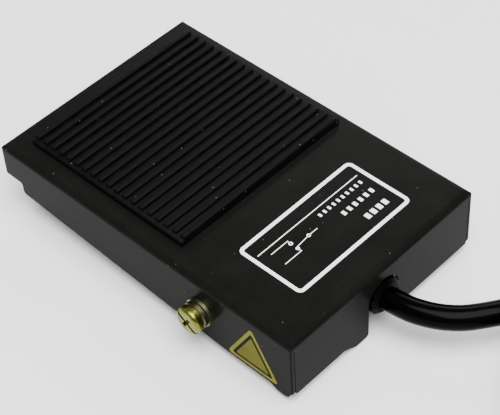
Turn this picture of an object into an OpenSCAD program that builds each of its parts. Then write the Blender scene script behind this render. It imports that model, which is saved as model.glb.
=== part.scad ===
// Sheet-metal electrical foot switch with a treadle cover, a snap-action switch and a mains lead.
// Frame: origin on the floor under the middle of the cover, +Z up, +Y to the lead, +X to the earth screw.

/* [Cover] */
// Width of the cover
cover_w = 78; // [76:0.5:80]
// Length of the cover
cover_l = 119.5; // [118:0.5:122]
// Height of the cover's top above the floor
cover_top = 24.8; // [24.6:0.1:26]
// Thickness of the cover's sheet
sheet = 1.2; // [1:0.1:1.4]
// Outside radius of the folds
fold_r = 2; // [1.6:0.1:2.6]
// Height of the rear skirt's edge above the floor
skirt_gap = 3; // [2.8:0.1:3.4]
// How much higher the side skirt's edge is at the front
skirt_rise = 5.9; // [5:0.1:6.5]
// Height of the front skirt's edge above the floor
front_edge = 12.9; // [12.5:0.1:13.5]

/* [Tread mat] */
// Width of the mat
mat_w = 67.2; // [60:0.2:67.4]
// Number of ribs
rib_count = 19; // [12:1:19]
// Distance from rib to rib
rib_pitch = 3.45; // [3:0.05:3.45]
// Width of a rib
rib_w = 1.9; // [1.4:0.1:2.2]
// Height of the mat with its ribs
mat_h = 3.1; // [2.4:0.1:3.4]
// Height of the ribs
rib_h = 1.1; // [0.6:0.1:1.4]

/* [Base] */
// Width of the base tray
base_w = 67; // [66.6:0.2:67.4]
// Thickness of the rubber sheet under the tray
foot_h = 3; // [3:0.1:3.2]
// Thickness of the tray's sheet
tray_t = 1.5; // [1.4:0.1:1.6]

/* [Lead] */
// Outside diameter of the lead
lead_d = 7.5; // [7:0.1:7.6]
// Turns of the coil that lie beside each other
coil_rows = 2; // [1:1:2]
// Turns of the coil that lie on each other
coil_layers = 3; // [2:1:3]

/* [Earth terminal] */
// Thread diameter of the earth screw
earth_d = 5; // [4:0.5:5]
// Diameter of its head
earth_head_d = 9; // [8:0.1:9.2]

/* [Hidden] */

$fn = 48;
hair = 0.01; // overlap that keeps a cut clean
lead_r = lead_d / 2;

// Places on the base
tray_z = foot_h + tray_t;
tray_front = -54.5;
tray_back = 54;
rim_t = 1.2;
rim_top = 7;
hinge_y = 47;
hinge_z = 9;
hinge_r = 2;
ear_r = 6;
mat_under = [60, 100];
spring_x = 17;
spring_y = -30;
lead_x = 0.3;
lead_z = 12.8;
lip_half = 14;
tongue_half = 6;

// Places under the cover
under = cover_top - sheet;
bracket_x = 29.8;
earth_y = 24.9;
earth_z = 12.9;
mat_front = -51.9;
mat_left = -34.8;

// Snap-action switch
case_y0 = -12;
case_l = 19.8;
case_x0 = -3.2;
case_w = 6.4;
case_z0 = 9.4;
case_h = 10.2;
case_wall = 1;
case_split = 1.6; // x of the joint between case and lid
pivot_y = 5.8;
pivot_z = 20.35;
lever_tip_y = -10;
lever_tip_z = 22.4;
lever_t = 0.4;
plunger_y = 0.8;
blade_y = 5.2;
blade_z = 15.2;
contact_y = -9.6;
switch_holes = [-6.8, 2.7]; // y of the two mounting holes
switch_hole_z = 12;
bracket_holes = [-6, 3];
bracket_hole_x = 10;
clamp_y = 34.5;
clamp_hole_x = 7.8;
// Screws and rivets through the tray
fixings = concat(
  [for (y = bracket_holes) [bracket_hole_x, y]],
  [for (s = [-1, 1]) [lead_x + s * clamp_hole_x, clamp_y]],
  [for (s = [-1, 1]) [s * spring_x, spring_y]]
);

// ---------- helpers ----------

// Points of an arc about c
function arc(c, r, a0, a1, n = 6) =
  [for (i = [0:n]) let (a = a0 + (a1 - a0) * i / n) c + r * [cos(a), sin(a)]];
function unit(v) = v / norm(v);
// Eases from 0 to 1
function eased(t) = t * t * (3 - 2 * t);
// Direction of a route at its point i
function heading(p, i) = unit(p[min(i + 1, len(p) - 1)] - p[max(i - 1, 0)]);
// Rings of points square to a route
function rings(p, r, n) = [for (i = [0:len(p) - 1], k = [0:n - 1])
  let (t = heading(p, i), u = unit(cross(t, [0, 0, 1])), v = cross(u, t), a = 360 * k / n)
  p[i] + r * (cos(a) * u + sin(a) * v)];

// A round tube along a route, closed at both ends
module sweep(p, r, n = 8) {
  m = len(p);
  polyhedron(
    points = rings(p, r, n),
    faces = concat(
      [[for (k = [0:n - 1]) k]],
      [[for (k = [0:n - 1]) m * n - 1 - k]],
      [for (i = [0:m - 2], k = [0:n - 1]) [i * n + (k + 1) % n, i * n + k, (i + 1) * n + k]],
      [for (i = [0:m - 2], k = [0:n - 1]) [i * n + (k + 1) % n, (i + 1) * n + k, (i + 1) * n + (k + 1) % n]]
    ),
    convexity = 10
  );
}

// Cylinder along X from x0 to x1, centred on (y, z)
module bar_x(x0, x1, y, z, r) translate([x0, y, z]) rotate([0, 90, 0]) cylinder(h = x1 - x0, r = r);
// Cylinder along Y from y0 to y1, centred on (x, z)
module bar_y(y0, y1, x, z, r) translate([x, y1, z]) rotate([90, 0, 0]) cylinder(h = y1 - y0, r = r);
// Box from its lowest to its highest corner
module block(a, b) translate(a) cube(b - a);
module mirrored_x() { children(); mirror([1, 0, 0]) children(); }

// Outline of a folded sheet seen from its end, with round top corners
module fold_outline(w, h, r) {
  polygon(concat([[w / 2, 0]], arc([w / 2 - r, h - r], r, 0, 90, 8),
    arc([-w / 2 + r, h - r], r, 90, 180, 8), [[-w / 2, 0]]));
}
// Box whose four top edges are folds
module folded_box(w, l, h, r) {
  intersection() {
    rotate([90, 0, 0]) linear_extrude(height = l, center = true) fold_outline(w, h, r);
    rotate([90, 0, 90]) linear_extrude(height = w, center = true) fold_outline(l, h, r);
  }
}

// Hexagon nut on an axis along Z
module nut_z(flats, h, r) {
  difference() {
    cylinder(h = h, r = flats / sqrt(3), $fn = 6);
    translate([0, 0, -hair]) cylinder(h = h + 2 * hair, r = r);
  }
}
// M3 screws and nuts: thread, clear hole and head as radii, head height, then the nut's flats and height
m3_r = 1.5;
m3_hole = 1.6;
m3_head_r = 2.75;
m3_head_h = 1.6;
m3_flats = 5.5;
m3_nut_h = 2.4;
// Pan head screw pointing up, its head below z = 0
module screw_up(r, length, head_r, head_h) {
  difference() {
    union() {
      translate([0, 0, -head_h]) cylinder(h = head_h, r = head_r);
      translate([0, 0, -hair]) cylinder(h = length, r = r);
    }
    for (a = [0, 90]) rotate([0, 0, a])
      translate([0, 0, -head_h]) cube([head_r * 1.2, head_r * 0.3, head_h], center = true);
  }
}

// ---------- base ----------

module ear() {
  block([base_w / 2 - rim_t, hinge_y - ear_r, tray_z - hair], [base_w / 2, hinge_y + ear_r, hinge_z]);
  bar_x(base_w / 2 - rim_t, base_w / 2, hinge_y, hinge_z, ear_r);
}

module base_plate() color("#8a8d90") difference() {
  union() {
    block([-base_w / 2, tray_front, foot_h], [base_w / 2, tray_back, tray_z]);
    mirrored_x() block([base_w / 2 - rim_t, tray_front, foot_h], [base_w / 2, tray_back, rim_top]);
    block([-base_w / 2, tray_front, foot_h], [base_w / 2, tray_front + rim_t, rim_top]);
    block([-base_w / 2, tray_back - rim_t, foot_h], [base_w / 2, tray_back, rim_top]);
    block([-lip_half, tray_front, foot_h], [lip_half, tray_front + rim_t, 17.4]);
    block([lead_x - 10, tray_back - rim_t, foot_h], [lead_x + 10, tray_back, 20.6]);
    mirrored_x() ear();
  }
  // window that the cover's tongue moves in
  block([-tongue_half - 2, tray_front - 1, 8.1],
    [tongue_half + 2, tray_front + rim_t + 1, front_edge + sheet + 0.2]);
  bar_y(tray_back - 3, tray_back + 1, lead_x, lead_z, 5.5);
  mirrored_x() bar_x(base_w / 2 - 3, base_w / 2 + 1, hinge_y, hinge_z, hinge_r);
  for (p = fixings) translate([p[0], p[1], 0]) cylinder(h = tray_z + 1, r = m3_r);
}

// Rubber sheet glued under the tray, with a hole round each screw and rivet head
module base_mat() color("#1b1b1b") difference() {
  linear_extrude(height = foot_h) round_rect(mat_under, 6);
  for (p = fixings) translate([p[0], p[1], -1]) cylinder(h = foot_h + 2, r = 3.6);
}

// Right-hand pin; the left one is its mirror image
module hinge_pin() color("#c9ccd0") difference() {
  union() {
    bar_x(base_w / 2, base_w / 2 + 1.2, hinge_y, hinge_z, 3.7);
    bar_x(27.6, base_w / 2 + hair, hinge_y, hinge_z, hinge_r);
  }
  difference() {
    bar_x(28.3, 29, hinge_y, hinge_z, hinge_r + 1);
    bar_x(28, 29.3, hinge_y, hinge_z, 1.5);
  }
}
module hinge_clips() color("#55585c") mirrored_x() difference() {
  bar_x(28.3, 29, hinge_y, hinge_z, 3.4);
  bar_x(28, 29.3, hinge_y, hinge_z, 1.5);
  block([28, hinge_y - 1.2, hinge_z - 4], [29.3, hinge_y + 1.2, hinge_z]);
}
module hinge_washers() color("#e8e6df") mirrored_x() difference() {
  bar_x(31.25, 32.2, hinge_y, hinge_z, 4);
  bar_x(31, 32.5, hinge_y, hinge_z, hinge_r + 0.05);
}

// ---------- return springs ----------

seat_h = 0.8;
spring_z0 = tray_z + seat_h;
spring_z1 = under - seat_h;
wire_r = 0.45;
coil_r = 4.3;
free_turns = 4.5;
turn_steps = 12;
// Height of the wire's centre after t turns: one close turn at each end
function spring_height(t) =
  let (low = spring_z0 + wire_r, high = spring_z1 - wire_r, close = 2 * wire_r + 0.05)
  t < 1 ? low + close * t
  : t > 1 + free_turns ? high - close * (2 + free_turns - t)
  : low + close + (high - low - 2 * close) * (t - 1) / free_turns;
spring_route = [for (i = [0:turn_steps * (free_turns + 2)])
  let (t = i / turn_steps) [coil_r * cos(360 * t), coil_r * sin(360 * t), spring_height(t)]];

module spring_seats() color("#b9bcc0") for (s = [-1, 1]) translate([s * spring_x, spring_y, 0]) {
  translate([0, 0, tray_z]) cylinder(h = seat_h, r = 5.6);
  translate([0, 0, tray_z + seat_h - hair]) cylinder(h = 3.2, r = 3.2);
  translate([0, 0, foot_h - 0.8]) cylinder(h = tray_t + 0.9, r = 1.5);
  translate([0, 0, foot_h - 1]) cylinder(h = 1, r = 2.6);
}
module spring_caps() color("#b9bcc0") for (s = [-1, 1]) translate([s * spring_x, spring_y, 0]) {
  translate([0, 0, under - seat_h]) cylinder(h = seat_h, r = 5.6);
  translate([0, 0, under - seat_h - 3]) cylinder(h = 3.1, r = 3.2);
}
module return_spring(s) color("#9fa3a8") translate([s * spring_x, spring_y, 0]) sweep(spring_route, wire_r, 6);

// ---------- snap-action switch ----------

module insulating_sheet() color("#d9c9a3") difference() {
  block([-12, -15, tray_z], [15, 11, tray_z + 0.4]);
  for (y = bracket_holes) translate([bracket_hole_x, y, 0]) cylinder(h = tray_z + 1, r = m3_hole);
}
module switch_bracket() color("#a7abb0") {
  foot_z = tray_z + 0.4;
  difference() {
    union() {
      block([case_x0 + case_w, -10, foot_z], [case_x0 + case_w + 1.2, 6, 15]);
      block([case_x0 + case_w, -10, foot_z], [14, 6, foot_z + 1.2]);
    }
    for (y = bracket_holes) translate([bracket_hole_x, y, 0]) cylinder(h = 10, r = m3_hole);
    for (y = switch_holes) bar_x(case_x0, 8, y, switch_hole_z, 1.25);
  }
}
bracket_stack = tray_z + 1.6; // top of the bracket's foot
module bracket_screws() color("#c9ccd0") for (y = bracket_holes) translate([bracket_hole_x, y, foot_h])
  screw_up(m3_r, bracket_stack - foot_h + 3, m3_head_r, m3_head_h);
module bracket_nuts() color("#c9ccd0") for (y = bracket_holes) translate([bracket_hole_x, y, bracket_stack])
  nut_z(m3_flats, m3_nut_h, m3_r);

module mounting_bosses(x0, x1) for (y = switch_holes) bar_x(x0, x1, y, switch_hole_z, 1.8);
module mounting_holes(x0, x1) for (y = switch_holes) bar_x(x0, x1, y, switch_hole_z, 1.15);
terminal_t = 0.5;
// Each terminal's y and the x of its left face: common, closed, open
terminals = [[5.6, -1], [-2.2, -2], [contact_y, -1]];

module switch_case() color("#22252a") difference() {
  union() {
    difference() {
      block([case_x0, case_y0, case_z0], [case_split, case_y0 + case_l, case_z0 + case_h]);
      block([case_x0 + case_wall, case_y0 + case_wall, case_z0 + 1.2],
        [case_split + 1, case_y0 + case_l - case_wall, case_z0 + case_h - case_wall]);
    }
    mounting_bosses(case_x0, case_split);
    // ear that holds the lever's pin
    block([case_x0, pivot_y - 1.2, case_z0 + case_h - hair], [case_x0 + 0.8, pivot_y + 1.2, 21.3]);
  }
  mounting_holes(case_x0 - 1, case_split + 1);
  translate([case_x0 + 2.4, plunger_y, case_z0 + case_h - 2]) cylinder(h = 4, r = 1);
  for (p = terminals) block([p[1], p[0] - 0.9, case_z0 - 1], [p[1] + terminal_t, p[0] + 0.9, case_z0 + 1.6]);
  bar_x(case_x0 - 1, case_split + 1, pivot_y, pivot_z, 0.5);
}
module switch_lid() color("#2f3338") difference() {
  union() {
    block([case_split, case_y0, case_z0], [case_x0 + case_w, case_y0 + case_l, case_z0 + case_h]);
    block([2.4, pivot_y - 1.2, case_z0 + case_h - hair], [case_x0 + case_w, pivot_y + 1.2, 21.3]);
  }
  mounting_holes(case_split - 1, case_x0 + case_w + 1);
  bar_x(case_split, case_x0 + case_w + 1, pivot_y, pivot_z, 0.5);
}
module switch_screws() color("#c9ccd0") for (y = switch_holes) difference() {
  union() {
    bar_x(case_x0 - 1.4, case_x0, y, switch_hole_z, 2.1);
    bar_x(case_x0 - hair, case_x0 + case_w + 3.6, y, switch_hole_z, 1.15);
  }
  block([case_x0 - 1.5, y - 0.3, switch_hole_z - 3], [case_x0 - 0.8, y + 0.3, switch_hole_z + 3]);
}
module switch_nuts() color("#c9ccd0") for (y = switch_holes)
  translate([case_x0 + case_w + 1.2, y, switch_hole_z]) rotate([0, 90, 0]) nut_z(4, 1.8, 1.15);

// A terminal's upright strip
module terminal_strip(p, top) block([p[1], p[0] - 0.9, 5.9], [p[1] + terminal_t, p[0] + 0.9, top]);
module common_terminal() color("#c8a24a") {
  terminal_strip(terminals[0], blade_z - 0.4);
  block([-1, 4.7, blade_z - 0.9], [0.6, 6.5, blade_z - 0.4]);
}
module open_terminal() color("#c8a24a") {
  terminal_strip(terminals[2], 13.4);
  block([-1, contact_y - 0.9, 12.9], [0.8, contact_y + 0.9, 13.4]);
  translate([-0.2, contact_y, 13.3]) cylinder(h = 0.45, r = 0.8);
}
module closed_terminal() color("#c8a24a") {
  terminal_strip(terminals[1], 17.4);
  block([-2, contact_y - 0.9, 16.9], [-1.5, -1.3, 17.4]);
  block([-2, contact_y - 0.9, 16.9], [0.6, contact_y + 0.9, 17.4]);
  translate([-0.2, contact_y, 15.68]) cylinder(h = 1.3, r = 0.8);
}
module lever_pin() color("#c9ccd0") bar_x(case_x0, case_x0 + case_w, pivot_y, pivot_z, 0.5);

lever_angle = atan((lever_tip_z - pivot_z) / (pivot_y - lever_tip_y));
lever_len = norm([lever_tip_z - pivot_z, pivot_y - lever_tip_y]);
module switch_lever() color("#c9ccd0") translate([0, pivot_y, pivot_z]) difference() {
  rotate([-lever_angle, 0, 0]) union() {
    block([-2.2, -lever_len, -lever_t / 2], [2.2, -0.5, lever_t / 2]);
    bar_x(-2.2, 2.2, 0, 0, 0.7);
  }
  bar_x(-3, 3, 0, 0, 0.53);
}
module switch_plunger() color("#c23b2e") translate([case_x0 + 2.4, plunger_y, 0]) {
  translate([0, 0, 15.95]) cylinder(h = 4.75, r = 0.92);
  translate([0, 0, 16.6]) cylinder(h = 0.8, r = 1.2);
}
module contact_blade() color("#d8b45c") {
  block([-1.3, contact_y - 1, blade_z - 0.1], [0.5, blade_y + 0.7, blade_z + 0.1]);
  translate([-0.2, contact_y, blade_z - 0.45]) cylinder(h = 0.9, r = 0.8);
}

// ---------- lead inside the case ----------

collar_r = 6.1;
thread_r = 5.5;
relief_in = 38.5;
collar_out = cover_l / 2 + 1.5;
lead_in = 30;
module strain_relief() color("#161616") translate([lead_x, 0, lead_z]) rotate([-90, 0, 0]) difference() {
  rotate_extrude() polygon([
    [lead_r + 0.02, relief_in], [4.4, relief_in], [thread_r, tray_back - rim_t - 2], [thread_r, tray_back],
    [collar_r, tray_back], [collar_r, collar_out - 1.1], [collar_r - 1.3, collar_out], [lead_r + 0.02, collar_out]
  ]);
  // grip notches round the collar
  for (a = [0:30:330]) rotate([0, 0, a])
    block([collar_r - 0.5, -0.3, collar_out - 2.2], [collar_r + 1, 0.3, collar_out + 1]);
}
module relief_nut() color("#222222") translate([lead_x, tray_back - rim_t, lead_z]) rotate([90, 0, 0])
  nut_z(15, 2, thread_r);
module inner_lead() color("#151515") bar_y(lead_in, collar_out, lead_x, lead_z, lead_r);

bridge_top = lead_z + 5.6;
module clamp_half(z0, z1) difference() {
  block([lead_x - 10.6, clamp_y - 3, z0], [lead_x + 10.6, clamp_y + 3, z1]);
  bar_y(clamp_y - 4, clamp_y + 4, lead_x, lead_z, lead_r + 0.02);
  for (s = [-1, 1]) translate([lead_x + s * clamp_hole_x, clamp_y, 0]) cylinder(h = 40, r = m3_hole);
}
module clamp_block() color("#3a3a3a") clamp_half(tray_z, lead_z - 0.3);
module clamp_bridge() color("#3a3a3a") clamp_half(lead_z + 0.3, bridge_top);
module clamp_screws() color("#c9ccd0") for (s = [-1, 1]) translate([lead_x + s * clamp_hole_x, clamp_y, foot_h])
  screw_up(m3_r, bridge_top + 3 - foot_h, m3_head_r, m3_head_h);
module clamp_nuts() color("#c9ccd0") for (s = [-1, 1])
  translate([lead_x + s * clamp_hole_x, clamp_y, bridge_top]) nut_z(m3_flats, m3_nut_h, m3_r);

core_r = 1.3;
core_z = 7.2; // height of the cores beside the switch
sleeve_x = -6;
// A core's route: out of the lead, aslant to its lane beside the switch, then square to its terminal
function core_route(start, turn, lane, end) =
  let (d = start[0] - lane)
  concat(
    [[start[0], lead_in, start[1]], [start[0], turn + 0.8, start[1]]],
    [for (f = [0.12, 0.4, 0.75]) [start[0] - f * d, turn - f * d, start[1] + (core_z - start[1]) * eased(f)]],
    [[lane, turn - d - 1, core_z], [lane, end[0] + 3, core_z], [lane + 0.8, end[0] + 0.8, core_z],
     [sleeve_x - 0.4, end[0], core_z], [end[1] - 0.02, end[0], core_z]]
  );
module core_common() color("#7a4a2a")
  sweep(core_route([lead_x + 1.5, lead_z - 0.9], 22, -9.2, terminals[0]), core_r);
module core_closed() color("#2b5fa8")
  sweep(core_route([lead_x, lead_z + 1.7], 25, -12.2, terminals[1]), core_r);
module core_open() color("#26282b")
  sweep(core_route([lead_x - 1.5, lead_z - 0.9], 28, -15.2, terminals[2]), core_r);
module core_sleeves() color("#8c1f1c") for (p = terminals) difference() {
  bar_x(sleeve_x + 0.2, p[1] - 0.05, p[0], core_z, 1.75);
  bar_x(sleeve_x, p[1] + 1, p[0], core_z, core_r + 0.05);
}

// ---------- treadle cover ----------

slot_half = 6.5;
slot_z = lead_z + 0.2;
seam = 0.25; // gap between two skirts at a corner
corner_r = 3.2; // lower rear corners of the side skirts
edge_r = 0.5; // rounding of the upright sheet edges
skin = sheet + 0.3; // depth that a skirt cut has to reach
inner_x = cover_w / 2 - sheet;
inner_y = cover_l / 2 - sheet;

// What is cut away under a side skirt, seen along X
module side_cut() polygon(concat(
  [[-cover_l / 2 - 1, -5], [-cover_l / 2 - 1, front_edge + 1.2]],
  arc([-cover_l / 2 + 1.2, front_edge + 1.2], 1.2, 180, 270),
  arc([-53.2, front_edge - 1], 1, 90, 0),
  arc([-50.7, skirt_gap + skirt_rise + 1.3], 1.5, 180, 265),
  [[33, skirt_gap + 0.1], [51.5, skirt_gap], [53.6, skirt_gap - 1.2], [55.4, skirt_gap - 1.4]],
  arc([cover_l / 2 - corner_r, skirt_gap - 1.4 + corner_r], corner_r, 275, 360),
  [[cover_l / 2 + 1, skirt_gap - 1.4 + corner_r], [cover_l / 2 + 1, -5]]
));
// What is cut away under the rear skirt, seen along Y
module rear_cut() polygon(concat(
  [[-cover_w / 2 - 1, -5], [-cover_w / 2 - 1, skirt_gap + 0.1], [lead_x - slot_half, skirt_gap + 0.1]],
  arc([lead_x, slot_z], slot_half, 180, 0, 16),
  arc([lead_x + slot_half + 1.2, skirt_gap - 1.2], 1.2, 180, 270),
  [[12, skirt_gap - 2.4], [14.8, skirt_gap - 1], [17.2, skirt_gap + 0.1]],
  arc([inner_x - 1.5, skirt_gap + 1.6], 1.5, 270, 330),
  [[cover_w / 2 + 1, skirt_gap + 1.6], [cover_w / 2 + 1, -5]]
));
module cover_shell() difference() {
  intersection() {
    folded_box(cover_w, cover_l, cover_top, fold_r);
    linear_extrude(height = cover_top) round_rect([cover_w, cover_l], edge_r);
  }
  translate([0, 0, -1]) folded_box(cover_w - 2 * sheet, cover_l - 2 * sheet, under + 1, max(fold_r - sheet, 0.3));
}
module top_cover() color("#2c2c2b") difference() {
  union() {
    cover_shell();
    // tongue that the base's front lip holds
    block([-tongue_half, -inner_y - hair, front_edge],
      [tongue_half, tray_front + rim_t + 1.6, front_edge + sheet]);
  }
  mirrored_x() translate([inner_x - 0.3, 0, 0]) rotate([90, 0, 90]) linear_extrude(height = skin + 1) side_cut();
  translate([0, inner_y + skin + 1 - 0.3, 0]) rotate([90, 0, 0]) linear_extrude(height = skin + 1) rear_cut();
  block([-inner_x - 0.5, -cover_l / 2 - 1, -5], [inner_x + 0.5, -inner_y + 0.3, front_edge]);
  // open seams at the four upright corners
  mirrored_x() for (s = [-1, 1]) block([inner_x - seam, min(s * (inner_y - 0.5), s * (inner_y + 2)), -5],
    [inner_x, max(s * (inner_y - 0.5), s * (inner_y + 2)), cover_top - fold_r - 0.6]);
  bar_x(inner_x - 1, inner_x + 3, earth_y, earth_z, earth_d / 2);
}

mat_l = (rib_count - 1) * rib_pitch + rib_w;
rib_inset = 1.3; // from the mat's side to the ends of its ribs
// A block of the mat's width, inset at both sides, with its outline seen along X
module mat_block(inset) translate([mat_left + inset, mat_front, cover_top]) rotate([90, 0, 90])
  linear_extrude(height = mat_w - 2 * inset) children();
module tread_mat() color("#171717") {
  web = mat_h - rib_h;
  draft = 0.05;
  mat_block(0)
    polygon([[0, 0], [0, web - 0.6], [0.5, web], [mat_l - 0.5, web], [mat_l, web - 0.6], [mat_l, 0]]);
  mat_block(rib_inset) for (i = [0:rib_count - 1]) translate([i * rib_pitch, 0])
    polygon([[draft, web - 0.6], [draft, web], [0.4, mat_h], [rib_w - 0.4, mat_h], [rib_w - draft, web],
      [rib_w - draft, web - 0.6]]);
}

// Printed panel: frame, rule, changeover symbol and plain bars, a thin coat of white ink
ink = 0.1;
panel_c = [-0.6, 37];
panel_size = [47.6, 24.3];
line_w = 1.15;
module round_rect(s, r) {
  polygon(concat(arc([s[0] / 2 - r, s[1] / 2 - r], r, 0, 90), arc([-s[0] / 2 + r, s[1] / 2 - r], r, 90, 180),
    arc([-s[0] / 2 + r, -s[1] / 2 + r], r, 180, 270), arc([s[0] / 2 - r, -s[1] / 2 + r], r, 270, 360)));
}
// A printed line from a to b, w wide
module rule(a, b, w) translate(a) rotate(atan2(b[1] - a[1], b[0] - a[0]))
  translate([0, -w / 2]) square([norm(b - a), w]);
module changeover_symbol() {
  thin = 0.22;
  rule([1.8, 36], [4.8, 36], thin);
  difference() { translate([5.4, 36]) circle(r = 0.62); translate([5.4, 36]) circle(r = 0.3); }
  rule([6, 36.05], [10.7, 36.5], thin);
  translate([11.1, 37]) circle(r = 0.62);
  rule([11.1, 37], [11.1, 38.5], thin);
  rule([10.9, 38.4], [17.8, 38.4], thin);
  difference() { translate([11.1, 34.3]) circle(r = 0.66); translate([11.1, 34.3]) circle(r = 0.32); }
  rule([11.1, 33.65], [11.1, 32.9], thin);
  rule([10.9, 33], [17.8, 33], thin);
}
// A row of n plain dashes from x on, one each pitch, each w wide and h high
module dashes(x, y, n, pitch, w, h) for (i = [0:n - 1]) translate([x + i * pitch, y - h / 2]) square([w, h]);
module printed_panel() color("#f2f2ef") translate([0, 0, cover_top]) {
  linear_extrude(height = ink) translate(panel_c) difference() {
    round_rect(panel_size, 1.9);
    round_rect(panel_size - [2 * line_w, 2 * line_w], 0.9);
  }
  linear_extrude(height = ink) rule([-21.6, 30.6], [20.8, 30.6], 0.26);
  linear_extrude(height = ink) changeover_symbol();
  linear_extrude(height = ink) dashes(-19.6, 43.7, 4, 2.5, 1.5, 2.1);
  linear_extrude(height = ink) dashes(-20.3, 37.8, 6, 2.4, 1.1, 1.7);
  linear_extrude(height = ink) dashes(-20.5, 33.2, 10, 1.95, 0.75, 1.3);
}

// Plain triangular sticker on the side skirt
sticker_t = 0.15;
module sticker_outline(r, inset) {
  low = [[36.6 + inset * 1.73, 4.9 + inset], [53.1 - inset * 1.73, 4.9 + inset]];
  polygon(concat(arc(low[0], r, 150, 270, 5), arc(low[1], r, 270, 390, 5),
    arc([44.85, 19.2 - 2 * inset], r, 30, 150, 5)));
}
module side_sticker() color("#b9b45a") translate([cover_w / 2, 0, 0])
  rotate([90, 0, 90]) linear_extrude(height = sticker_t)
  sticker_outline(0.9, 0);

lug_x1 = bracket_x + sheet;
lug_r = 4.2;
module hinge_bracket() color("#2c2c2b") difference() {
  union() {
    block([bracket_x, hinge_y - lug_r, hinge_z], [lug_x1, hinge_y + lug_r, under]);
    bar_x(bracket_x, lug_x1, hinge_y, hinge_z, lug_r);
    block([bracket_x - 8, hinge_y - lug_r, under - sheet], [lug_x1, hinge_y + lug_r, under]);
  }
  bar_x(bracket_x - 1, lug_x1 + 1, hinge_y, hinge_z, 3);
}
module hinge_bush() color("#e8e6df") difference() {
  union() {
    bar_x(bracket_x - hair, lug_x1 + 0.15, hinge_y, hinge_z, 3);
    bar_x(bracket_x - 0.7, bracket_x, hinge_y, hinge_z, 4);
  }
  bar_x(bracket_x - 2, lug_x1 + 2, hinge_y, hinge_z, hinge_r + 0.05);
}
module striker() color("#b9bcc0") translate([case_x0 + case_w / 2, lever_tip_y + 0.4, 0]) {
  translate([0, 0, under - 0.95]) cylinder(h = 0.95, r = 2.2);
}

// Earth terminal on the side skirt, its axis along X
flat_t = 1;
spring_t = 1.7; // split ring that isn't pressed flat
head_h = 3.1;
earth_face = cover_w / 2;
spring_washer_r = 4.4;
flat_washer_r = 4.65;
head_x = earth_face + flat_t + spring_t;
module earth_screw() color("#b7ad62") difference() {
  union() {
    translate([head_x, earth_y, earth_z]) rotate([0, 90, 0]) rotate_extrude()
      polygon(concat([[0, 0], [earth_head_d / 2 - 0.4, 0], [earth_head_d / 2, 0.4],
                      [earth_head_d / 2, head_h - 1.3]],
        arc([earth_head_d / 2 - 1.3, head_h - 1.3], 1.3, 0, 75), [[0, head_h]]));
    bar_x(earth_face - sheet - 5.5, head_x + hair, earth_y, earth_z, earth_d / 2);
  }
  // slot right across, crossed by a short recess
  translate([head_x + head_h, earth_y, earth_z]) rotate([-35, 0, 0])
    cube([2.2, earth_head_d + 1, 1], center = true);
  translate([head_x + head_h, earth_y, earth_z]) rotate([55, 0, 0]) cube([3.4, 4.4, 1.2], center = true);
}
// Washer blank with chamfered edges, from x = 0 on
module washer_ring(t, r, c) translate([0, earth_y, earth_z]) rotate([0, 90, 0]) rotate_extrude()
  polygon([[0, 0], [r - c, 0], [r, c], [r, t - c], [r - c, t], [0, t]]);
module spring_washer() color("#b9b9ae") translate([earth_face + flat_t, 0, 0]) difference() {
  washer_ring(spring_t, spring_washer_r, 0.3);
  bar_x(-1, spring_t + 1, earth_y, earth_z, earth_d / 2 + 0.1);
  translate([0, earth_y, earth_z]) rotate([115, 0, 0]) block([-1, 0, -0.35], [3, 6, 0.35]);
}
module flat_washer() color("#cfcfc8") difference() {
  bar_x(earth_face, earth_face + flat_t, earth_y, earth_z, flat_washer_r);
  bar_x(earth_face - 1, earth_face + flat_t + 1, earth_y, earth_z, earth_d / 2 + 0.1);
}
module earth_nut() color("#c9ccd0") translate([earth_face - sheet - 4, earth_y, earth_z]) rotate([0, 90, 0])
  nut_z(8, 4, earth_d / 2);

// ---------- free lead ----------

// Route of the lead's centre from the strain relief to the coil
lead_route = [
  [lead_x, collar_out, lead_z], [lead_x, 62.4, 12.8], [-0.6, 69.1, 12.8], [-3.3, 75.8, 12.8], [-7.5, 81.6, 12.8],
  [-13.1, 86.15, 12.8], [-18.2, 89.35, 12.4], [-23.3, 92.5, 11.5], [-28.4, 95.7, 10.1], [-33.5, 98.9, 8.3],
  [-38.5, 102, 6.5], [-43.6, 105.2, 5], [-48.7, 108.4, 4.05], [-52.4, 110.7, 3.75]
];
coil_mean = 40;
coil_c = [-29.2, 147.8];
coil_out = coil_mean + coil_rows * lead_r;
coil_h = coil_layers * lead_d;
tie_angle = 60;
tie_t = 0.8;
tie_w = 4.8;

module lead() color("#151515") sweep(lead_route, lead_r, 12);
module tie_band(grow) rotate([0, 0, tie_angle]) translate([0, tie_w / 2, 0]) rotate([90, 0, 0])
  linear_extrude(height = tie_w) translate([coil_mean, coil_h / 2])
  round_rect([2 * coil_rows * lead_r + grow, coil_h + min(grow, 0)], 3);
module lead_coil() color("#151515") translate([coil_c[0], coil_c[1], 0]) difference() {
  rotate_extrude($fn = 96) translate([coil_mean, coil_h / 2]) round_rect([2 * coil_rows * lead_r, coil_h], 3);
  difference() {
    tie_band(2);
    tie_band(-2 * tie_t);
  }
}
module coil_tie() color("#e4e4e0") translate([coil_c[0], coil_c[1], 0]) {
  difference() {
    tie_band(0);
    rotate([0, 0, tie_angle]) translate([0, tie_w / 2 + 1, 0]) rotate([90, 0, 0])
      linear_extrude(height = tie_w + 2) translate([coil_mean, coil_h / 2])
      round_rect([2 * coil_rows * lead_r - 2 * tie_t, coil_h - 2 * tie_t], 3 - tie_t);
  }
  rotate([0, 0, tie_angle]) block([coil_out - hair, -3.2, coil_h / 2 - 3], [coil_out + 4, 3.2, coil_h / 2 + 3]);
}

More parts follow.
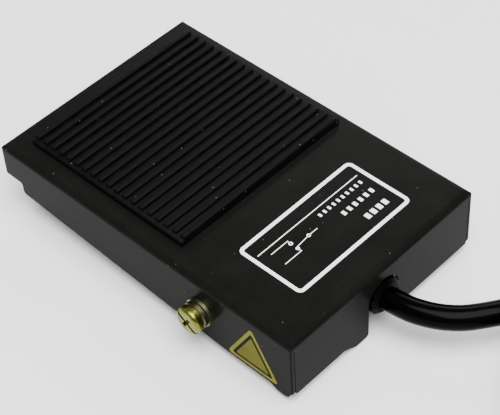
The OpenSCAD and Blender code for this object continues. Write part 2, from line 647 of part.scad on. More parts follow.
// The lead's end lies along the top of the coil
end_a0 = 200;
end_a1 = 140;
core_a1 = 96;
function on_coil(r, a, z) = [coil_c[0] + r * cos(a), coil_c[1] + r * sin(a), z];
end_z = coil_h + lead_r;
module lead_end() color("#151515")
  sweep([for (i = [0:9]) on_coil(coil_mean, end_a0 + (end_a1 - end_a0) * i / 9, end_z)], lead_r, 12);
// Cores fan out from the lead's end and lie down on the coil
function free_core(dr, dz) = [for (i = [0:8]) let (s = i / 8, f = s * s * (3 - 2 * s))
  on_coil(coil_mean + dr * (1 + 3 * f), end_a1 + (core_a1 - end_a1) * s,
    end_z + dz + (coil_h + core_r - end_z - dz) * min(1, 1.3 * f))];
free_cores = [free_core(1.4, -0.8), free_core(-1.4, -0.8), free_core(0.05, 1.6)];
module lead_cores() for (i = [0:2]) color(["#7a4a2a", "#2b5fa8", "#26282b"][i]) sweep(free_cores[i], core_r);
module lead_ferrules() color("#d7d9dc") for (p = free_cores) {
  last = p[len(p) - 1];
  way = unit(last - p[len(p) - 2]);
  sweep([last, last + 8 * way], 0.9);
}

base_plate();
base_mat();
mirror([1, 0, 0]) hinge_pin();  // hinge_pin_left
hinge_pin();  // hinge_pin_right
hinge_clips();
hinge_washers();
spring_seats();
return_spring(-1);  // return_spring_left
return_spring(1);  // return_spring_right
switch_bracket();
bracket_screws();
bracket_nuts();
insulating_sheet();
switch_case();
switch_lid();
switch_screws();
switch_nuts();
common_terminal();
closed_terminal();
open_terminal();
lever_pin();
strain_relief();
relief_nut();
inner_lead();
clamp_block();
clamp_bridge();
clamp_screws();
clamp_nuts();
core_common();
core_closed();
core_open();
core_sleeves();
top_cover();
tread_mat();
printed_panel();
side_sticker();
mirror([1, 0, 0]) hinge_bracket();  // hinge_bracket_left
hinge_bracket();  // hinge_bracket_right
mirror([1, 0, 0]) hinge_bush();  // hinge_bush_left
hinge_bush();  // hinge_bush_right
striker();
spring_caps();
earth_screw();
spring_washer();
flat_washer();
earth_nut();
switch_lever();
switch_plunger();
contact_blade();
lead();
lead_coil();
coil_tie();
lead_end();
lead_cores();
lead_ferrules();
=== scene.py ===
"""Looks of a sheet-metal treadle foot switch: enamelled cover, ribbed tread, earth terminal and lead."""

import logging
import math
from dataclasses import dataclass
from enum import Enum
from typing import Any, Iterable, Sequence

import bmesh
import bpy
from mathutils import Matrix, Vector


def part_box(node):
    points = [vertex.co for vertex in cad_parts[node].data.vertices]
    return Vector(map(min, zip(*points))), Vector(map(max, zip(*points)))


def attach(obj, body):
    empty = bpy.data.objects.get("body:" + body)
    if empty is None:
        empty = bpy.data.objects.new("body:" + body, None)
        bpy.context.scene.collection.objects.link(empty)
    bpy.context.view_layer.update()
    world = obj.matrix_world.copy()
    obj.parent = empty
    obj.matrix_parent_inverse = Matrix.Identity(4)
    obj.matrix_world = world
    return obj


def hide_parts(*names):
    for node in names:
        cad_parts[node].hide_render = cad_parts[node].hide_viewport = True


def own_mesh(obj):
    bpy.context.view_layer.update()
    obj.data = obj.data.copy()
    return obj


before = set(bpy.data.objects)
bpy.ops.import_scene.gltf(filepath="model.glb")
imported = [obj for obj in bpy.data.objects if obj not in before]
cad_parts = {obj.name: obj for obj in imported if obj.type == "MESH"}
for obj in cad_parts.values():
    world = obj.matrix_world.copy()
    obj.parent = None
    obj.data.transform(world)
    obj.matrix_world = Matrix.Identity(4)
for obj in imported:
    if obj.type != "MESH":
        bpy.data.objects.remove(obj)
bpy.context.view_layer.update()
LOG = logging.getLogger("foot_switch")
MM = 0.001

Point = tuple[float, float, float]
Colour = tuple[float, float, float, float]


class Body(str, Enum):
    """Rigid bodies that the modelled pieces move with."""

    BASE = "base"
    TREADLE = "treadle"


class Tint(str, Enum):
    """What a finish's fine noise does to its colour."""

    EVEN = "even"
    DUSTY = "dusty"
    RAINBOW = "rainbow"


def linear(hex_colour: str) -> Colour:
    """Turns an sRGB hex colour into linear RGBA.

    Args:
        hex_colour: Six hex digits.

    Returns:
        The linear colour, with alpha 1.
    """
    parts = [int(hex_colour[i:i + 2], 16) / 255 for i in (0, 2, 4)]
    r, g, b = (c / 12.92 if c <= 0.04045 else ((c + 0.055) / 1.055) ** 2.4 for c in parts)
    return (r, g, b, 1.0)


def add_node(tree: bpy.types.NodeTree, kind: str, settings: dict[str, Any],
             links: dict[Any, Any]) -> bpy.types.Node:
    """Adds one shader node.

    Args:
        tree: Node tree that gets it.
        kind: Blender's name of the node's type.
        settings: Properties of the node, or socket values where the key is a socket's name.
        links: Input sockets by name or number, each with the output that feeds it.

    Returns:
        The new node.
    """
    node = tree.nodes.new(kind)
    for key, value in settings.items():
        if key in node.inputs:
            node.inputs[key].default_value = value
        else:
            setattr(node, key, value)
    for key, output in links.items():
        tree.links.new(output, node.inputs[key])
    return node


@dataclass(frozen=True)
class Finish:
    """A real surface: its stuff, its colours and the marks that its making left.

    Attributes:
        name: Common name of the material and how it was made.
        light: Hex colour of its lighter places.
        dark: Hex colour of its darker places.
        rough: Lowest and highest roughness.
        grain: Size of its grain in mm.
        depth: Height of the grain in mm.
        metallic: 1 for a bare metal.
        ior: Index of refraction.
        coat: Weight of a clear coat.
        stretch: How much the grain is drawn out along each axis.
        tint: What the fine noise does to the colour.
        specular: Strength of the gloss, 0.5 as physics has it.
    """

    name: str
    light: str
    dark: str
    rough: tuple[float, float]
    grain: float
    depth: float
    metallic: float = 0.0
    ior: float = 1.5
    coat: float = 0.0
    stretch: Point = (1.0, 1.0, 1.0)
    tint: Tint = Tint.EVEN
    specular: float = 0.5

    def material(self) -> bpy.types.Material:
        """Makes the material, or finds it if it was made before.

        Returns:
            The material.
        """
        found = bpy.data.materials.get(self.name)
        if found:
            return found
        made = bpy.data.materials.new(self.name)
        made.use_nodes = True
        tree = made.node_tree
        tree.nodes.clear()
        out = add_node(tree, "ShaderNodeOutputMaterial", {}, {})
        place = add_node(tree, "ShaderNodeTexCoord", {}, {}).outputs["Object"]
        drawn = add_node(tree, "ShaderNodeMapping", {"Scale": tuple(1 / s for s in self.stretch)},
                         {"Vector": place})
        grain = self._noise(tree, drawn.outputs["Vector"], self.grain, 5.0)
        cloud = self._noise(tree, place, self.grain * 14, 3.0)
        rough = add_node(tree, "ShaderNodeMapRange", {
            "From Min": 0.3, "From Max": 0.7, "To Min": self.rough[0], "To Max": self.rough[1]},
            {"Value": cloud})
        bump = add_node(tree, "ShaderNodeBump", {"Strength": 0.6, "Distance": self.depth * MM},
                        {"Height": grain})
        shader = add_node(tree, "ShaderNodeBsdfPrincipled", {
            "Metallic": self.metallic, "IOR": self.ior, "Coat Weight": self.coat, "Coat Roughness": 0.12,
            "Specular IOR Level": self.specular}, {
            "Base Color": self._colour(tree, place, grain, cloud), "Roughness": rough.outputs["Result"],
            "Normal": bump.outputs["Normal"]})
        tree.links.new(shader.outputs["BSDF"], out.inputs["Surface"])
        return made

    def _noise(self, tree: bpy.types.NodeTree, place: Any, size: float, detail: float) -> Any:
        """Adds noise whose features are size mm across and returns its output."""
        return add_node(tree, "ShaderNodeTexNoise", {
            "Scale": 1 / (size * MM), "Detail": detail, "Roughness": 0.6}, {"Vector": place}).outputs["Fac"]

    def _colour(self, tree: bpy.types.NodeTree, place: Any, grain: Any, cloud: Any) -> Any:
        """Mixes the two colours and lays the tint on them.

        Args:
            tree: Node tree that gets the nodes.
            place: Output with the place on the object.
            grain: Output of the fine noise.
            cloud: Output of the coarse noise.

        Returns:
            The output with the colour.
        """
        both = add_node(tree, "ShaderNodeMath", {"operation": "ADD"}, {0: grain, 1: cloud}).outputs[0]
        share = add_node(tree, "ShaderNodeMapRange", {"From Min": 0.75, "From Max": 1.25}, {"Value": both})
        mix = add_node(tree, "ShaderNodeMix", {"data_type": "RGBA"}, {0: share.outputs["Result"]})
        mix.inputs[6].default_value = linear(self.dark)
        mix.inputs[7].default_value = linear(self.light)
        if self.tint is Tint.DUSTY:
            return self._dusted(tree, place, mix.outputs[2])
        if self.tint is Tint.RAINBOW:
            return self._passivated(tree, place, mix.outputs[2])
        return mix.outputs[2]

    def _dusted(self, tree: bpy.types.NodeTree, place: Any, colour: Any) -> Any:
        """Lays a few specks of dust, 0.3 mm across and some 4 mm apart, on a colour.

        Args:
            tree: Node tree that gets the nodes.
            place: Output with the place on the object.
            colour: Output with the colour below.

        Returns:
            The output with the colour.
        """
        cells = add_node(tree, "ShaderNodeTexVoronoi", {"Scale": 1 / (4 * MM)}, {"Vector": place})
        speck = add_node(tree, "ShaderNodeMapRange", {
            "From Min": 0.035, "From Max": 0.06, "To Min": 0.28, "To Max": 0.0},
            {"Value": cells.outputs["Distance"]})
        mix = add_node(tree, "ShaderNodeMix", {"data_type": "RGBA"}, {0: speck.outputs["Result"], 6: colour})
        mix.inputs[7].default_value = linear("8a8880")
        return mix.outputs[2]

    def _passivated(self, tree: bpy.types.NodeTree, place: Any, colour: Any) -> Any:
        """Gives a zinc coat the pink and green clouds of yellow chromate, about 2 mm across.

        Args:
            tree: Node tree that gets the nodes.
            place: Output with the place on the object.
            colour: Output with the coat's own colour.

        Returns:
            The output with the colour.
        """
        cloud = self._noise(tree, place, 2.2, 2.0)
        ramp = add_node(tree, "ShaderNodeValToRGB", {}, {"Fac": cloud})
        ramp.color_ramp.elements[0].color = linear("545e22")
        ramp.color_ramp.elements[1].color = linear("6e682c")
        ramp.color_ramp.elements[0].position = 0.36
        ramp.color_ramp.elements[1].position = 0.66
        middle = ramp.color_ramp.elements.new(0.5)
        middle.color = linear("82863a")
        mix = add_node(tree, "ShaderNodeMix", {"data_type": "RGBA", "blend_type": "MIX"},
                       {6: colour, 7: ramp.outputs["Color"]})
        mix.inputs[0].default_value = 0.6
        return mix.outputs[2]


# Stove enamel on steel: a hard semi-gloss skin with a faint orange peel
ENAMEL = Finish("black_stove_enamel", "121211", "0e0e0d", (0.2, 0.3), 0.9, 0.004,
                tint=Tint.DUSTY, specular=0.022)
# Moulded rubber: dull, with the mould's fine spark-eroded grain and dust on it
TREAD_RUBBER = Finish("moulded_tread_rubber", "050505", "020202", (0.5, 0.7), 0.25, 0.02,
                      ior=1.52, tint=Tint.DUSTY, specular=0.07)
# Calendered rubber sheet: dull and even
SHEET_RUBBER = Finish("calendered_rubber_sheet", "232323", "151515", (0.65, 0.85), 0.4, 0.03, ior=1.52)
# Electroplated zinc on cold-rolled sheet: bluish, with the rolling lines along its length
ZINC_SHEET = Finish("zinc_plated_sheet", "b9bdc2", "8f949a", (0.28, 0.42), 0.35, 0.003,
                    metallic=1.0, stretch=(1, 7, 1))
# Bright zinc on small turned parts
ZINC_PARTS = Finish("bright_zinc_plate", "cfd1ce", "a5a7a6", (0.2, 0.34), 0.3, 0.004, metallic=1.0)
# Chromate-passivated zinc: straw yellow with pink and green clouds
YELLOW_ZINC = Finish("yellow_chromate_zinc", "74762c", "54561e", (0.2, 0.34), 0.35, 0.006,
                     metallic=1.0, tint=Tint.RAINBOW)
# Chromated zinc of the washers: dull, greenish grey
DULL_ZINC = Finish("dull_chromate_zinc", "6e6c4e", "43422c", (0.34, 0.5), 0.3, 0.006, metallic=1.0)
# Thinly chromated zinc: pale straw
PALE_ZINC = Finish("pale_chromate_zinc", "a09f7c", "74734e", (0.26, 0.4), 0.3, 0.004, metallic=1.0)
# Phosphated spring steel: dark, matt and slightly oily
PHOSPHATE = Finish("phosphated_spring_steel", "4a4a4c", "2c2c2e", (0.4, 0.55), 0.12, 0.003, metallic=1.0)
# Drawn spring wire with thin zinc: lines along the wire
SPRING_WIRE = Finish("drawn_spring_wire", "b0b3b6", "7d8084", (0.25, 0.4), 0.15, 0.003, metallic=1.0)
# Natural nylon 6: milky and waxy
NYLON = Finish("natural_nylon", "e2dfd3", "cdc9ba", (0.35, 0.5), 0.5, 0.004, ior=1.53)
# Black glass-filled nylon: dull, with the fibres' fine grain
BLACK_NYLON = Finish("black_filled_nylon", "262626", "181818", (0.4, 0.55), 0.2, 0.008, ior=1.53)
# Moulded phenolic of the switch's case: hard and glossy
PHENOLIC = Finish("moulded_phenolic", "23252a", "17181c", (0.22, 0.34), 0.25, 0.004, ior=1.6)
# Phenolic paper sheet: tan with paper fibres
PAPER_SHEET = Finish("phenolic_paper_sheet", "c2a878", "9c8254", (0.35, 0.5), 0.5, 0.004,
                     ior=1.6, stretch=(1, 3, 1))
# Acetal of the plunger
ACETAL = Finish("red_acetal", "b8382c", "94281f", (0.3, 0.4), 0.3, 0.003, ior=1.48)
# Stamped stainless strip, rolled along its length
STAINLESS = Finish("rolled_stainless_strip", "c9cacb", "9fa1a3", (0.2, 0.32), 0.2, 0.002,
                   metallic=1.0, stretch=(1, 6, 1))
# Tinned brass of the terminals
BRASS = Finish("stamped_terminal_brass", "d2b06a", "b08a42", (0.22, 0.36), 0.25, 0.003, metallic=1.0)
# Flexible PVC sheath: smooth with a soft sheen and the extruder's slight waviness
SHEATH = Finish("extruded_pvc_sheath", "020202", "010101", (0.14, 0.22), 0.7, 0.012,
                ior=1.53, tint=Tint.DUSTY, specular=0.03)
# Elastomer of the strain relief: duller than the sheath
RELIEF = Finish("moulded_relief_elastomer", "030303", "010101", (0.36, 0.5), 0.25, 0.01,
                ior=1.52, specular=0.02)
# Screen-printed epoxy ink: slightly raised, dull white, a little uneven
INK = Finish("screen_printed_ink", "ffffff", "f2f2ee", (0.45, 0.6), 0.22, 0.012)
# Vinyl film in three printed colours
FILM_EDGE = Finish("vinyl_film_edge", "767630", "6a6a2a", (0.3, 0.42), 0.4, 0.004, ior=1.54, specular=0.01)
FILM_LINE = Finish("vinyl_film_line", "1c1604", "161103", (0.3, 0.42), 0.4, 0.004, ior=1.54, specular=0.01)
FILM_FIELD = Finish("vinyl_film_field", "646228", "58561e", (0.3, 0.42), 0.4, 0.004, ior=1.54, specular=0.01)
# Core insulation: smooth soft PVC
CORE_BROWN = Finish("brown_core_pvc", "4c2a15", "3d2110", (0.3, 0.4), 0.4, 0.005, ior=1.53)
CORE_BLUE = Finish("blue_core_pvc", "173f80", "113268", (0.3, 0.4), 0.4, 0.005, ior=1.53)
CORE_BLACK = Finish("black_core_pvc", "242424", "191919", (0.3, 0.4), 0.4, 0.005, ior=1.53)
# Heat-shrink sleeve, slightly wrinkled
SHRINK = Finish("red_heat_shrink", "8e2420", "701a18", (0.35, 0.5), 0.4, 0.02, ior=1.5)
# Crimped and tinned copper ferrules
TINNED = Finish("crimped_tinned_copper", "c8c9c8", "9d9e9e", (0.25, 0.4), 0.25, 0.012,
                metallic=1.0, stretch=(1, 1, 3))
# Painted studio floor, pale and plain
FLOOR = Finish("pale_studio_floor", "f6f6f5", "f2f2f1", (0.7, 0.8), 40.0, 0.01, specular=0.2)


def dress(node_names: str, finish: Finish) -> list[str]:
    """Gives CAD nodes a finish.

    Args:
        node_names: Names of the nodes, with spaces between.
        finish: What they are made of.

    Returns:
        The names as a list.
    """
    names = node_names.split()
    for name in names:
        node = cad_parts[name]
        if not node.material_slots:
            node.data.materials.append(None)
        for slot in node.material_slots:
            slot.material = finish.material()
    return names


def finished(shape: bmesh.types.BMesh, name: str, finishes: Sequence[Finish], body: Body,
             smooth: float = 35.0) -> bpy.types.Object:
    """Turns a bmesh into a piece that rides on a body.

    Args:
        shape: Finished shape, in metres in the shared frame. It is freed.
        name: The piece's name.
        finishes: One finish for each material index.
        body: Body that it moves with.
        smooth: Faces that meet at less than this many degrees are shaded smooth.

    Returns:
        The new object.
    """
    bmesh.ops.remove_doubles(shape, verts=shape.verts, dist=0.002 * MM)
    bmesh.ops.recalc_face_normals(shape, faces=shape.faces)
    for face in shape.faces:
        face.smooth = True
    for edge in shape.edges:
        edge.smooth = len(edge.link_faces) == 2 and edge.calc_face_angle(0.0) < math.radians(smooth)
    mesh = bpy.data.meshes.new(name)
    shape.to_mesh(mesh)
    shape.free()
    for finish in finishes:
        mesh.materials.append(finish.material())
    piece = bpy.data.objects.new(name, mesh)
    bpy.context.scene.collection.objects.link(piece)
    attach(piece, body.value)
    return piece


def slab(shape: bmesh.types.BMesh, low: Point, high: Point, radius: float, segments: int = 3,
         top_only: bool = False) -> None:
    """Adds a box with rounded edges to a bmesh.

    Args:
        shape: Bmesh that gets the box.
        low: Lowest corner in mm.
        high: Highest corner in mm.
        radius: Radius of its edges in mm.
        segments: Steps of each rounded edge.
        top_only: Whether only the edges of the top are rounded.
    """
    made = bmesh.ops.create_cube(shape, size=1.0)
    verts = made["verts"]
    size = [(h - l) * MM for l, h in zip(low, high)]
    centre = [(h + l) / 2 * MM for l, h in zip(low, high)]
    bmesh.ops.scale(shape, vec=size, verts=verts)
    bmesh.ops.translate(shape, vec=centre, verts=verts)
    edges = {e for v in verts for e in v.link_edges}
    if top_only:
        edges = {e for e in edges if all(abs(v.co.z - high[2] * MM) < 1e-7 for v in e.verts)}
    bmesh.ops.bevel(shape, geom=list(edges), offset=radius * MM, segments=segments, profile=0.5,
                    affect="EDGES", material=-1, clamp_overlap=True)


def smooth_path(points: Sequence[Point], steps: int) -> list[Vector]:
    """Runs one smooth curve through points.

    Args:
        points: Points in mm.
        steps: Number of stretches between two neighbouring points.

    Returns:
        Points on the curve, in metres.
    """
    p = [Vector(q) * MM for q in points]
    p = [2 * p[0] - p[1]] + p + [2 * p[-1] - p[-2]]
    path = []
    for a, b, c, d in zip(p, p[1:], p[2:], p[3:]):
        for k in range(steps):
            t = k / steps
            path.append(0.5 * (2 * b + (c - a) * t + (2 * a - 5 * b + 4 * c - d) * t * t
                               + (3 * b - a - 3 * c + d) * t ** 3))
    return path + [p[-2]]


def tube(name: str, path: Iterable[Vector], radius: float, finish: Finish, body: Body) -> bpy.types.Object:
    """Makes a round tube as a curve of one open spline.

    Args:
        name: The piece's name.
        path: Points on its centreline, in metres.
        radius: Its radius in mm.
        finish: What it is made of.
        body: Body that it moves with.

    Returns:
        The curve object.
    """
    points = list(path)
    curve = bpy.data.curves.new(name, "CURVE")
    curve.dimensions = "3D"
    curve.bevel_depth = radius * MM
    curve.bevel_resolution = 6
    curve.use_fill_caps = True
    spline = curve.splines.new("POLY")
    spline.points.add(len(points) - 1)
    for spot, co in zip(spline.points, points):
        spot.co = (*co, 1.0)
    spline.use_smooth = True
    curve.materials.append(finish.material())
    piece = bpy.data.objects.new(name, curve)
    bpy.context.scene.collection.objects.link(piece)
    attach(piece, body.value)
    return piece


@dataclass
class Cover:
    """Folded steel cover, which is the treadle, with what is welded under it."""

    def build(self) -> list[str]:
        """Dresses the cover and its hinge brackets."""
        return dress("top_cover hinge_bracket_left hinge_bracket_right", ENAMEL) + \
            dress("striker spring_caps", ZINC_PARTS) + dress("hinge_bush_left hinge_bush_right", NYLON)


@dataclass
class TreadMat:
    """Ribbed rubber mat on the cover.

    Attributes:
        ribs: Number of ribs.
        pitch: Distance from rib to rib in mm.
        rib: Width of a rib in mm.
        groove: Depth of the grooves in mm.
        inset: From the mat's side to the ends of its ribs, in mm.
    """

    ribs: int = 19
    pitch: float = 3.45
    rib: float = 1.9
    groove: float = 1.1
    inset: float = 1.3

    def build(self) -> list[str]:
        """Models the mat over the box of its CAD node.

        Returns:
            The piece's name.
        """
        low, high = (tuple(c / MM for c in corner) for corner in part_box("tread_mat"))
        shape = bmesh.new()
        floor = high[2] - self.groove
        slab(shape, low, (high[0], high[1], floor), 0.25, 2, top_only=True)
        for i in range(self.ribs):
            y = low[1] + i * self.pitch
            first, last = i == 0, i == self.ribs - 1
            slab(shape, (low[0] + self.inset, y + 0.02 * first, floor - 0.6),
                 (high[0] - self.inset, y + self.rib - 0.02 * last, high[2]), 0.45, 4, top_only=True)
        piece = finished(shape, "ribbed_tread", [TREAD_RUBBER], Body.TREADLE)
        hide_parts("tread_mat")
        return [piece.name]


@dataclass
class Markings:
    """Printed panel on the cover and the triangular film on its side.

    Attributes:
        middle: Middle of the film's triangle as y and z in mm.
        plates: For each printed layer, the distance from the middle to a corner, the corner's radius and
            its finish.
    """

    middle: tuple[float, float] = (44.85, 9.65)
    plates: tuple[tuple[float, float, Finish], ...] = (
        (11.3, 0.9, FILM_EDGE), (9.1, 0.6, FILM_LINE), (7.3, 0.4, FILM_FIELD))

    def build(self) -> list[str]:
        """Dresses the print and models the film."""
        return dress("printed_panel", INK) + [self._film()]

    def _film(self) -> str:
        """Makes the triangular film from three thin plates, one on the other.

        Returns:
            The piece's name.
        """
        low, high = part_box("side_sticker")
        shape = bmesh.new()
        for index, (reach, radius, _) in enumerate(self.plates):
            corners = [(reach * math.sin(a), reach * math.cos(a))
                       for a in (0.0, math.tau / 3, math.tau * 2 / 3)]
            verts = [shape.verts.new((low[0], (self.middle[0] + y) * MM, (self.middle[1] + z) * MM))
                     for y, z in corners]
            face = shape.faces.new(verts)
            face.material_index = index
            bmesh.ops.bevel(shape, geom=verts, offset=radius * math.sqrt(3) * MM, segments=6, profile=0.5,
                            affect="VERTICES", material=-1)
            face = next(f for f in shape.faces if f.material_index == index and len(f.edges) > 4)
            pushed = bmesh.ops.extrude_face_region(shape, geom=[face], use_keep_orig=True)
            moved = [g for g in pushed["geom"] if isinstance(g, bmesh.types.BMVert)]
            rise = (high[0] - low[0]) * (0.7 + 0.15 * index)
            bmesh.ops.translate(shape, vec=(rise, 0, 0), verts=moved)
        piece = finished(shape, "triangle_film", [finish for _, _, finish in self.plates], Body.TREADLE)
        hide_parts("side_sticker")
        return piece.name


@dataclass
class EarthTerminal:
    """Earth screw with its two washers and its nut, on the cover's side."""

    def build(self) -> list[str]:
        """Dresses the screw, the washers and the nut."""
        return dress("earth_screw earth_nut", YELLOW_ZINC) + dress("spring_washer", DULL_ZINC) + \
            dress("flat_washer", PALE_ZINC)


@dataclass
class Base:
    """Base tray with its rubber sheet and the hinge's pins."""

    def build(self) -> list[str]:
        """Dresses the tray and what is fixed to it."""
        return dress("base_plate switch_bracket", ZINC_SHEET) + dress("base_mat", SHEET_RUBBER) + \
            dress("hinge_pin_left hinge_pin_right bracket_screws bracket_nuts spring_seats", ZINC_PARTS) + \
            dress("hinge_clips", PHOSPHATE) + dress("hinge_washers", NYLON) + \
            dress("insulating_sheet", PAPER_SHEET)


@dataclass
class SnapSwitch:
    """Snap-action switch with its lever, plunger and terminals."""

    def build(self) -> list[str]:
        """Dresses the switch."""
        return dress("switch_case switch_lid", PHENOLIC) + dress("switch_plunger", ACETAL) + \
            dress("switch_lever", STAINLESS) + dress("switch_screws switch_nuts lever_pin", ZINC_PARTS) + \
            dress("common_terminal closed_terminal open_terminal contact_blade", BRASS)


@dataclass
class ReturnSpring:
    """Compression spring under the treadle.

    Attributes:
        side: Name of the side, left or right.
        x: Place across, in mm.
        y: Place along, in mm.
        low: Height of its lower end in mm.
        high: Height of its upper end in mm.
        wire: Wire's radius in mm.
        radius: Radius of the wire's centre in mm.
        turns: Free turns between the two closed end turns.
        stiff: Height of the closed end turns together, which doesn't shorten, in mm. Not used.
        steps: Points on each turn.
    """

    side: str
    x: float
    y: float = -30.0
    low: float = 5.3
    high: float = 22.8
    wire: float = 0.45
    radius: float = 4.3
    turns: float = 4.5
    stiff: float = 3.4
    steps: int = 28

    def _height(self, turn: float) -> float:
        """Gives the height of the wire's centre.

        Args:
            turn: How many turns lie below.

        Returns:
            The height in mm.
        """
        low, high, close = self.low + self.wire, self.high - self.wire, 2 * self.wire + 0.05
        if turn < 1:
            return low + close * turn
        if turn > 1 + self.turns:
            return high - close * (2 + self.turns - turn)
        return low + close + (high - low - 2 * close) * (turn - 1) / self.turns

    def build(self) -> list[str]:
        """Winds the spring.

        Returns:
            The piece's name.
        """
        path = [Vector((self.x + self.radius * math.cos(math.tau * i / self.steps),
                        self.y + self.radius * math.sin(math.tau * i / self.steps),
                        self._height(i / self.steps))) * MM
                for i in range(int(self.steps * (self.turns + 2)) + 1)]
        wound = tube(f"winding_{self.side}", path, self.wire, SPRING_WIRE, Body.BASE)
        mesh = bpy.data.meshes.new_from_object(wound.evaluated_get(bpy.context.evaluated_depsgraph_get()))
        bpy.data.objects.remove(wound)
        piece = bpy.data.objects.new(f"spring_wire_{self.side}", mesh)
        bpy.context.scene.collection.objects.link(piece)
        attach(piece, Body.BASE.value)
        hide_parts(f"return_spring_{self.side}")
        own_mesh(piece)
        return [piece.name]


@dataclass
class LeadEntry:
    """Strain relief, clamp and cores inside the case."""

    def build(self) -> list[str]:
        """Dresses the lead's entry."""
        return dress("strain_relief", RELIEF) + dress("relief_nut clamp_block clamp_bridge", BLACK_NYLON) + \
            dress("clamp_screws clamp_nuts", ZINC_PARTS) + dress("inner_lead", SHEATH) + \
            dress("core_common", CORE_BROWN) + dress("core_closed", CORE_BLUE) + \
            dress("core_open", CORE_BLACK) + dress("core_sleeves", SHRINK)


@dataclass
class Lead:
    """Mains lead: a free stretch, a tied coil and a bare end with ferrules on its cores.

    Attributes:
        radius: The lead's radius in mm.
        length: Its whole free length in metres. Not used.
        coil_centre: Middle of the coil in mm.
        coil_radius: Radius at the middle of the turns in mm.
        start_angle: Where the free stretch meets the coil, in degrees.
        end_angles: Where the end lies on the coil, in degrees.
        core_angle: Where the bare cores end, in degrees.
        core_radius: A core's radius in mm.
        layers: Layers of the coil, each of two turns.
        per_turn: Points on each turn.
        shift: How many of them it takes to pass to the next place in the coil.
        ROUTE: Points on the free stretch in mm.
    """

    radius: float = 3.75
    length: float = 1.66
    coil_centre: tuple[float, float] = (-29.2, 147.8)
    coil_radius: float = 40.0
    start_angle: float = 238.0
    end_angles: tuple[float, float] = (170.0, 140.0)
    core_angle: float = 96.0
    core_radius: float = 1.3
    layers: int = 3
    per_turn: int = 36
    shift: int = 7

    ROUTE = (
        (0.3, 61.25, 12.8), (0.3, 62.4, 12.8), (-0.6, 69.1, 12.8), (-3.3, 75.8, 12.8), (-7.5, 81.6, 12.8),
        (-13.1, 86.15, 12.8), (-18.2, 89.35, 12.4), (-23.3, 92.5, 11.5), (-28.4, 95.7, 10.1),
        (-33.5, 98.9, 8.3), (-38.5, 102, 6.5), (-43.6, 105.2, 5), (-48.7, 108.4, 4.05), (-52.4, 110.7, 3.75),
    )

    def _on_coil(self, radius: float, angle: float, height: float) -> Point:
        """Gives the point at a radius, an angle in degrees and a height on the coil, in mm."""
        a = math.radians(angle)
        return self.coil_centre[0] + radius * math.cos(a), self.coil_centre[1] + radius * math.sin(a), height

    def _coil(self) -> list[Point]:
        """Winds the turns, two side by side in each layer, and lays the end on top.

        Returns:
            Points in mm.
        """
        outer, inner = self.coil_radius + self.radius, self.coil_radius - self.radius
        nests = [(r, self.radius * (1 + 2 * layer)) for layer in range(self.layers)
                 for r in ((inner, outer) if layer % 2 else (outer, inner))]
        nests.append((self.coil_radius, self.radius * (1 + 2 * self.layers)))
        points = []
        for k in range(1, 2 * self.layers * self.per_turn + self.shift):
            turn, step = divmod(k, self.per_turn)
            here, before = nests[turn], nests[max(turn - 1, 0)]
            t = min(1.0, step / self.shift)
            t = t * t * (3 - 2 * t)
            radius, height = (b + (h - b) * t for b, h in zip(before, here))
            points.append(self._on_coil(radius, self.start_angle - 360 * k / self.per_turn, height))
        first, last = self.end_angles
        for i in range(7):
            points.append(self._on_coil(self.coil_radius, first + (last - first) * i / 6, nests[-1][1]))
        return points

    def _core(self, aside: float, above: float) -> list[Point]:
        """Gives the route of a bare core from the lead's end.

        Args:
            aside: How far outside the lead's centreline it starts, in mm.
            above: How far above it starts, in mm.

        Returns:
            Points in mm.
        """
        top = 2 * self.radius * self.layers
        end_height, laid = top + self.radius, top + self.core_radius
        points = []
        for i in range(9):
            s = i / 8
            f = s * s * (3 - 2 * s)
            angle = self.end_angles[1] + (self.core_angle - self.end_angles[1]) * s
            height = end_height + above + (laid - end_height - above) * min(1.0, 1.3 * f)
            points.append(self._on_coil(self.coil_radius + aside * (1 + 3 * f), angle, height))
        return points

    def build(self) -> list[str]:
        """Lays the lead and its bare cores.

        Returns:
            The names of the pieces.
        """
        path = smooth_path(list(self.ROUTE) + self._coil(), 3)
        piece = tube("mains_lead", path, self.radius, SHEATH, Body.BASE)
        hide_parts("lead", "lead_coil", "lead_end")
        cores = [tube(f"bare_core_{i}", smooth_path(self._core(*place), 4), self.core_radius, finish,
                      Body.BASE)
                 for i, (place, finish) in enumerate((((1.4, -0.8), CORE_BROWN), ((-1.4, -0.8), CORE_BLUE),
                                                      ((0.05, 1.6), CORE_BLACK)))]
        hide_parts("lead_cores")
        dress("coil_tie", NYLON)
        dress("lead_ferrules", TINNED)
        return [piece.name] + [core.name for core in cores] + ["coil_tie", "lead_ferrules"]


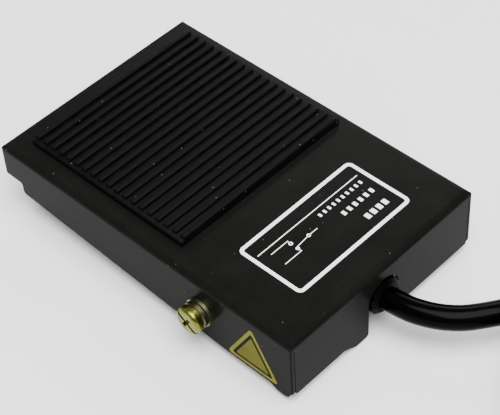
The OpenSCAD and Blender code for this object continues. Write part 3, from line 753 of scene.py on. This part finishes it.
@dataclass
class Studio:
    """Plain pale floor, soft lights and the camera.

    Attributes:
        eye: Camera's place in mm.
        azimuth: Its azimuth in degrees, 0 looking along +Y.
        elevation: Its elevation in degrees.
        roll: Its roll in degrees.
        lens: Focal length in mm on a 36 mm sensor.
    """

    eye: Point = (231.149, 249.081, 361.896)
    azimuth: float = 136.3171
    elevation: float = 46.2654
    roll: float = -3.8397
    lens: float = 116.24

    def camera(self) -> None:
        """Places the camera."""
        a, e, r = (math.radians(v) for v in (self.azimuth, self.elevation, self.roll))
        back = Vector((math.sin(a) * math.cos(e), -math.cos(a) * math.cos(e), math.sin(e)))
        right = Vector((0, 0, 1)).cross(back).normalized()
        up = back.cross(right)
        right, up = math.cos(r) * right + math.sin(r) * up, math.cos(r) * up - math.sin(r) * right
        data = bpy.data.cameras.new("studio_camera")
        data.lens, data.sensor_width = self.lens, 36.0
        data.clip_start, data.clip_end = 0.01, 20.0
        camera = bpy.data.objects.new("studio_camera", data)
        turn = Matrix((right, up, back)).transposed().to_4x4()
        camera.matrix_world = Matrix.Translation(Vector(self.eye) * MM) @ turn
        bpy.context.scene.collection.objects.link(camera)
        bpy.context.scene.camera = camera

    def _softbox(self, name: str, place: Point, target: Point, size: tuple[float, float],
                 power: float) -> None:
        """Hangs a soft area light.

        Args:
            name: Its name.
            place: Where it hangs, in metres.
            target: What it points at, in metres.
            size: Its width and height in metres.
            power: Its power in watts.
        """
        data = bpy.data.lights.new(name, "AREA")
        data.shape, data.size, data.size_y, data.energy = "RECTANGLE", size[0], size[1], power
        light = bpy.data.objects.new(name, data)
        light.location = place
        light.rotation_mode = "QUATERNION"
        light.rotation_quaternion = (Vector(target) - Vector(place)).to_track_quat("-Z", "Y")
        bpy.context.scene.collection.objects.link(light)

    def lights(self) -> None:
        """Lights the floor evenly from all round, with one softbox overhead."""
        world = bpy.data.worlds.new("studio_air")
        world.use_nodes = True
        sky = world.node_tree.nodes["Background"]
        sky.inputs["Color"].default_value = linear("f4f6f8")
        sky.inputs["Strength"].default_value = 0.6
        bpy.context.scene.world = world
        self._softbox("overhead_softbox", (0.2, 0.5, 1.5), (0, 0, 0), (1.4, 1.4), 72.0)
        self._softbox("side_softbox", (-1.1, -0.7, 0.9), (0, 0, 0), (0.8, 0.6), 9.0)

    def floor(self) -> None:
        """Lays the floor."""
        shape = bmesh.new()
        bmesh.ops.create_grid(shape, x_segments=4, y_segments=4, size=4.0)
        mesh = bpy.data.meshes.new("studio_floor")
        shape.to_mesh(mesh)
        shape.free()
        mesh.materials.append(FLOOR.material())
        floor = bpy.data.objects.new("studio_floor", mesh)
        bpy.context.scene.collection.objects.link(floor)

    def build(self) -> list[str]:
        """Sets up the studio.

        Returns:
            The floor's name.
        """
        self.camera()
        self.lights()
        self.floor()
        return ["studio_floor"]


def main() -> None:
    """Builds the studio and the switch, and logs each piece's name."""
    logging.basicConfig(level=logging.INFO, format="%(message)s")
    parts = (Studio(), Lead(), Cover(), TreadMat(), Markings(), EarthTerminal(), Base(), SnapSwitch(),
             ReturnSpring("left", -17.0), ReturnSpring("right", 17.0), LeadEntry())
    for part in parts:
        for name in part.build():
            LOG.info("%s: %s", type(part).__name__, name)


if __name__ == "__main__":
    main()
